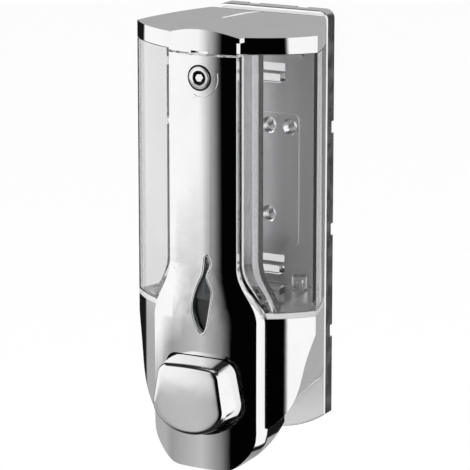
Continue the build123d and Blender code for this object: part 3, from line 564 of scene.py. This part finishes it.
def shield(grow):
    """The shield outline as a closed loop of points, grown by some millimetres."""
    top, round_mid, round_end = (10.0, -93.5), (13.2, -94.7), (14.8, -98.0)
    side_end, low_mid, low_end = (16.8, -110.5), (16.7, -113.0), (15.4, -115.6)
    keel_mid, keel = (9.0, -120.9), (0.0, -122.9)
    half = [(top[0] * k / CROWN_STEPS, CROWN_Z - CROWN_FALL * (k / CROWN_STEPS) ** 2)
            for k in range(CROWN_STEPS)]
    half += arc_through(top, round_mid, round_end, 10)
    run, fall = side_end[0] - round_end[0], side_end[1] - round_end[1]
    half += [(round_end[0] + run * k / FLANK_STEPS, round_end[1] + fall * k / FLANK_STEPS)
             for k in range(FLANK_STEPS)]
    half += arc_through(side_end, low_mid, low_end, 8)
    half += arc_through(low_end, keel_mid, keel, 16)
    loop = half + [keel] + [(-x, z) for x, z in reversed(half[1:])]
    grown = []
    for k, (x, z) in enumerate(loop):
        (px, pz), (nx, nz) = loop[k - 1], loop[(k + 1) % len(loop)]
        ex, ez = nx - px, nz - pz
        length = hypot(ex, ez)
        # the loop runs clockwise, so outward is to the left of the way it runs
        grown.append((x - ez / length * grow, z + ex / length * grow))
    return grown


def ring_of(shape, along, grow):
    """One ring of the shield. Deep insets shrink it towards its middle instead, so that it can't fold."""
    if grow >= -DEEPEST_INSET:
        points = shield(grow)
    else:
        share = 1 + (grow + DEEPEST_INSET) / SHRINK_LENGTH
        points = [(x * share, SHIELD_MIDDLE + (z - SHIELD_MIDDLE) * share) for x, z in shield(-DEEPEST_INSET)]
    return [shape.verts.new((x * MM, along * MM, z * MM)) for x, z in points]


def domed_ring(shape, behind, grow):
    """A ring of the face: each point lies a little behind the dome."""
    ring = ring_of(shape, 0, grow)
    for vert in ring:
        x, z = vert.co.x / MM / DOME_X, (vert.co.z / MM - SHIELD_MIDDLE) / DOME_Z
        vert.co.y = (FACE_PEAK + FACE_FALL * (x * x + z * z) + behind) * MM
    return ring


def bridge(shape, rings):
    """Joins rings of equal count by quads."""
    for first, second in zip(rings, rings[1:]):
        count = len(first)
        for k in range(count):
            shape.faces.new((first[k], first[(k + 1) % count], second[(k + 1) % count], second[k]))


button_shape = bmesh.new()
outer = [ring_of(button_shape, along, grow) for along, grow in SIDE_STEPS]
outer += [domed_ring(button_shape, behind, grow) for behind, grow in FACE_STEPS]
inner = [ring_of(button_shape, along, grow) for along, grow in INNER_STEPS]
bridge(button_shape, outer)
bridge(button_shape, inner)
bridge(button_shape, [outer[0], inner[0]])
for ring, dome in ((outer[-1], FACE_PEAK), (inner[-1], INNER_PEAK)):
    peak = button_shape.verts.new((0, dome * MM, SHIELD_MIDDLE * MM))
    for k in range(len(ring)):
        button_shape.faces.new((ring[k], ring[(k + 1) % len(ring)], peak))
stem_rows = []
for radius, along in STEM:
    row = []
    for k in range(STEM_SIDES):
        turn = 2 * pi * k / STEM_SIDES
        spot = (radius * MM * cos(turn), along * MM, PUMP_Z + radius * MM * sin(turn))
        row.append(button_shape.verts.new(spot))
    stem_rows.append(row)
bridge(button_shape, stem_rows + [stem_rows[0]])
for side in (-1, 1):
    for low_corner, high_corner in EARS:
        made = bmesh.ops.create_cube(button_shape, size=1.0)["verts"]
        for vert in made:
            for axis in range(3):
                share = vert.co[axis] + 0.5
                vert.co[axis] = (low_corner[axis] * (1 - share) + high_corner[axis] * share) * MM
            vert.co.x *= side
bmesh.ops.recalc_face_normals(button_shape, faces=button_shape.faces)
button = finished(button_shape, "chromed_button", 40)
satin = chrome_plate("button_chrome", (0.88, 0.88, 0.88), (0.95, 0.95, 0.95), 0.07, 0.12, 0.012 * MM)
place_piece(button, "button", "push_button", satin)

# ---- lid ----
# The lid is a chromed ABS cap with a low crest that runs back from the lobe over the column.
# It turns on a steel pin at the back, and a hook inside it catches the lock's cam.
LID_GAP = 0.3 * MM
LID_RIM = 42.8 * MM
lid = finished(welded_shape("lid"), "chromed_lid", 8)
for vert in lid.data.vertices:
    if abs(vert.co.z - LID_RIM) < 0.1 * MM:
        vert.co.z += LID_GAP
soften(lid, 0.4 * MM)
place_piece(lid, "lid", "lid", bright_chrome)
dress(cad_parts["lid_hinge_pin"], zinc_plate)

# ---- studio ----
# A pale floor well below the dispenser, and a soft round of white and black cloths that the
# chrome mirrors. Only mirror reflections see the cloths; the eye sees plain white.
FLOOR_DROP = 1.3
low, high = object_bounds()
floor_shape = bmesh.new()
bmesh.ops.create_grid(floor_shape, x_segments=1, y_segments=1, size=12)
bmesh.ops.translate(floor_shape, verts=floor_shape.verts, vec=(0, 0, low[2] - FLOOR_DROP))
floor = finished(floor_shape, "studio_floor")
floor_paint, _, _, floor_shader, _ = new_material("pale_floor")
floor_shader.inputs["Base Color"].default_value = (0.9, 0.9, 0.9, 1)
floor_shader.inputs["Roughness"].default_value = 0.9
floor_shader.inputs["Emission Color"].default_value = (1, 1, 1, 1)
floor_shader.inputs["Emission Strength"].default_value = 0.1
floor.data.materials.append(floor_paint)
floor.visible_glossy = False
floor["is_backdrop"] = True

# bearing in degrees, 0 in front and + to the right, and the brightness there
CLOTHS = ((-180, 0.42), (-149, 0.42), (-144, 0.01), (-109, 0.01), (-106, 1.0), (-60, 1.0), (-29, 0.95),
          (-22, 0.72), (-14, 0.40), (-6, 0.10), (-2, 0.0008), (46, 0.0008), (49, 1.0), (139, 1.0),
          (143, 0.01), (157, 0.01), (162, 0.42), (180, 0.42))
LOW_CLOTHS = ((-180, 0.42), (-149, 0.42), (-144, 0.01), (-109, 0.01), (-106, 0.42), (-62, 0.45), (-55, 0.34),
              (-27, 0.55), (-12, 0.25), (-3, 0.0008), (46, 0.0008), (49, 1.0), (139, 1.0),
              (143, 0.01), (157, 0.01), (162, 0.42), (180, 0.42))
world = bpy.data.worlds.new("studio_cloths")
bpy.context.scene.world = world
world.use_nodes = True
nodes, links = world.node_tree.nodes, world.node_tree.links
sky = nodes["Background"]
parts = nodes.new("ShaderNodeSeparateXYZ")
links.new(nodes.new("ShaderNodeTexCoord").outputs["Generated"], parts.inputs[0])


def sum_up(operation, first, second):
    """One arithmetic step on world directions."""
    step = nodes.new("ShaderNodeMath")
    step.operation = operation
    for socket, value in zip(step.inputs, (first, second)):
        if isinstance(value, (int, float)):
            socket.default_value = value
        else:
            links.new(value, socket)
    return step.outputs[0]


bearing = sum_up("ARCTAN2", parts.outputs["X"], sum_up("MULTIPLY", parts.outputs["Y"], -1))
round_share = sum_up("ADD", sum_up("DIVIDE", bearing, 2 * pi), 0.5)


def cloth_round(strip):
    """The brightness all the way round, from bearings and greys."""
    ramp = nodes.new("ShaderNodeValToRGB")
    stops = ramp.color_ramp.elements
    stops.remove(stops[1])
    for k, (degrees, grey) in enumerate(strip):
        stop = stops[0] if k == 0 else stops.new((degrees + 180) / 360)
        stop.position, stop.color = (degrees + 180) / 360, (grey, grey, grey, 1)
    links.new(round_share, ramp.inputs["Fac"])
    return ramp.outputs["Color"]


# the cloths hang between a dark ground and the ceiling
height_share = sum_up("ADD", sum_up("MULTIPLY", parts.outputs["Z"], 0.5), 0.5)
height = nodes.new("ShaderNodeValToRGB")
for stop, (position, shade) in zip(list(height.color_ramp.elements), ((0.10, 0), (0.19, 1))):
    stop.position, stop.color = position, (shade, shade, shade, 1)
for position, shade in ((0.78, 1), (0.86, 0)):
    height.color_ramp.elements.new(position).color = (shade, shade, shade, 1)
links.new(height_share, height.inputs["Fac"])


def blend_colour(factor, first, second):
    """Mixes two colours in the world."""
    mix = nodes.new("ShaderNodeMix")
    mix.data_type = "RGBA"
    links.new(factor, mix.inputs["Factor"])
    colours = [socket for socket in mix.inputs if socket.enabled and socket.type == "RGBA"]
    for socket, value in zip(colours, (first, second)):
        if isinstance(value, tuple):
            socket.default_value = value
        else:
            links.new(value, socket)
    return mix.outputs["Result"]


# thirteen to sixteen degrees below the horizon the cloths change to the darker set
LOW_FROM, LOW_TO = -sin(radians(12.8)), -sin(radians(15.6))
sunk = nodes.new("ShaderNodeMapRange")
sunk.inputs["From Min"].default_value = LOW_FROM
sunk.inputs["From Max"].default_value = LOW_TO
links.new(parts.outputs["Z"], sunk.inputs["Value"])
cloths = blend_colour(sunk.outputs["Result"], cloth_round(CLOTHS), cloth_round(LOW_CLOTHS))
# a dark ring under a light patch of ceiling draws the thin black line along rounded edges
ceiling = nodes.new("ShaderNodeValToRGB")
ceiling.color_ramp.elements[0].position, ceiling.color_ramp.elements[0].color = 0.955, (0.02, 0.02, 0.02, 1)
ceiling.color_ramp.elements[1].position, ceiling.color_ramp.elements[1].color = 0.985, (0.6, 0.6, 0.6, 1)
links.new(height_share, ceiling.inputs["Fac"])
walled = blend_colour(height.outputs["Color"], ceiling.outputs["Color"], cloths)
# what is seen through clear plastic is plain, with a darker ceiling and ground
path = nodes.new("ShaderNodeLightPath")
not_through = sum_up("SUBTRACT", 1, path.outputs["Is Transmission Ray"])
mirrored = sum_up("MULTIPLY", path.outputs["Is Glossy Ray"], not_through)
beyond = nodes.new("ShaderNodeValToRGB")
beyond.color_ramp.elements[0].position, beyond.color_ramp.elements[0].color = 0.22, (0.35, 0.35, 0.35, 1)
beyond.color_ramp.elements[1].position, beyond.color_ramp.elements[1].color = 0.36, (1, 1, 1, 1)
beyond.color_ramp.elements.new(0.72).color = (1, 1, 1, 1)
beyond.color_ramp.elements.new(0.86).color = (0.5, 0.5, 0.5, 1)
links.new(height_share, beyond.inputs["Fac"])
# it is brighter in front of the wall than behind it
front_share = nodes.new("ShaderNodeMapRange")
front_share.inputs["From Min"].default_value = 0.3
front_share.inputs["From Max"].default_value = -0.3
front_share.inputs["To Min"].default_value = 0.84
front_share.inputs["To Max"].default_value = 2.8
links.new(parts.outputs["Y"], front_share.inputs["Value"])
scaled = nodes.new("ShaderNodeVectorMath")
scaled.operation = "SCALE"
links.new(beyond.outputs["Color"], scaled.inputs[0])
links.new(front_share.outputs["Result"], scaled.inputs["Scale"])
plain = blend_colour(path.outputs["Is Transmission Ray"], (1, 1, 1, 1), scaled.outputs["Vector"])
links.new(blend_colour(mirrored, plain, walled), sky.inputs["Color"])
sky.inputs["Strength"].default_value = 1.0

key = bpy.data.lights.new("soft_key", "AREA")
key.energy = 18
key.size = 0.9
key_lamp = bpy.data.objects.new("soft_key", key)
key_lamp.location = (-0.7, -1.1, 1.0)
key_lamp.rotation_euler = (Vector((0, 0, 0)) - Vector(key_lamp.location)).to_track_quat("-Z", "Y").to_euler()
key_lamp.visible_glossy = False
bpy.context.scene.collection.objects.link(key_lamp)

# camera: a long lens, half right of the front and a little above
BEARING, RISE, DISTANCE = radians(27.52), radians(13.89), 1.3
aim = Vector((-0.0015, -0.040, -0.0445))
camera = bpy.data.cameras.new("camera")
camera.lens = 224.7
camera.sensor_width = 36
camera.clip_end = 50
eye = bpy.data.objects.new("camera", camera)
eye.location = aim + DISTANCE * Vector((sin(BEARING) * cos(RISE), -cos(BEARING) * cos(RISE), sin(RISE)))
eye.rotation_euler = (aim - eye.location).to_track_quat("-Z", "Y").to_euler()
bpy.context.scene.collection.objects.link(eye)
bpy.context.scene.camera = eye
bpy.context.scene.view_settings.view_transform = "Standard"

low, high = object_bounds()
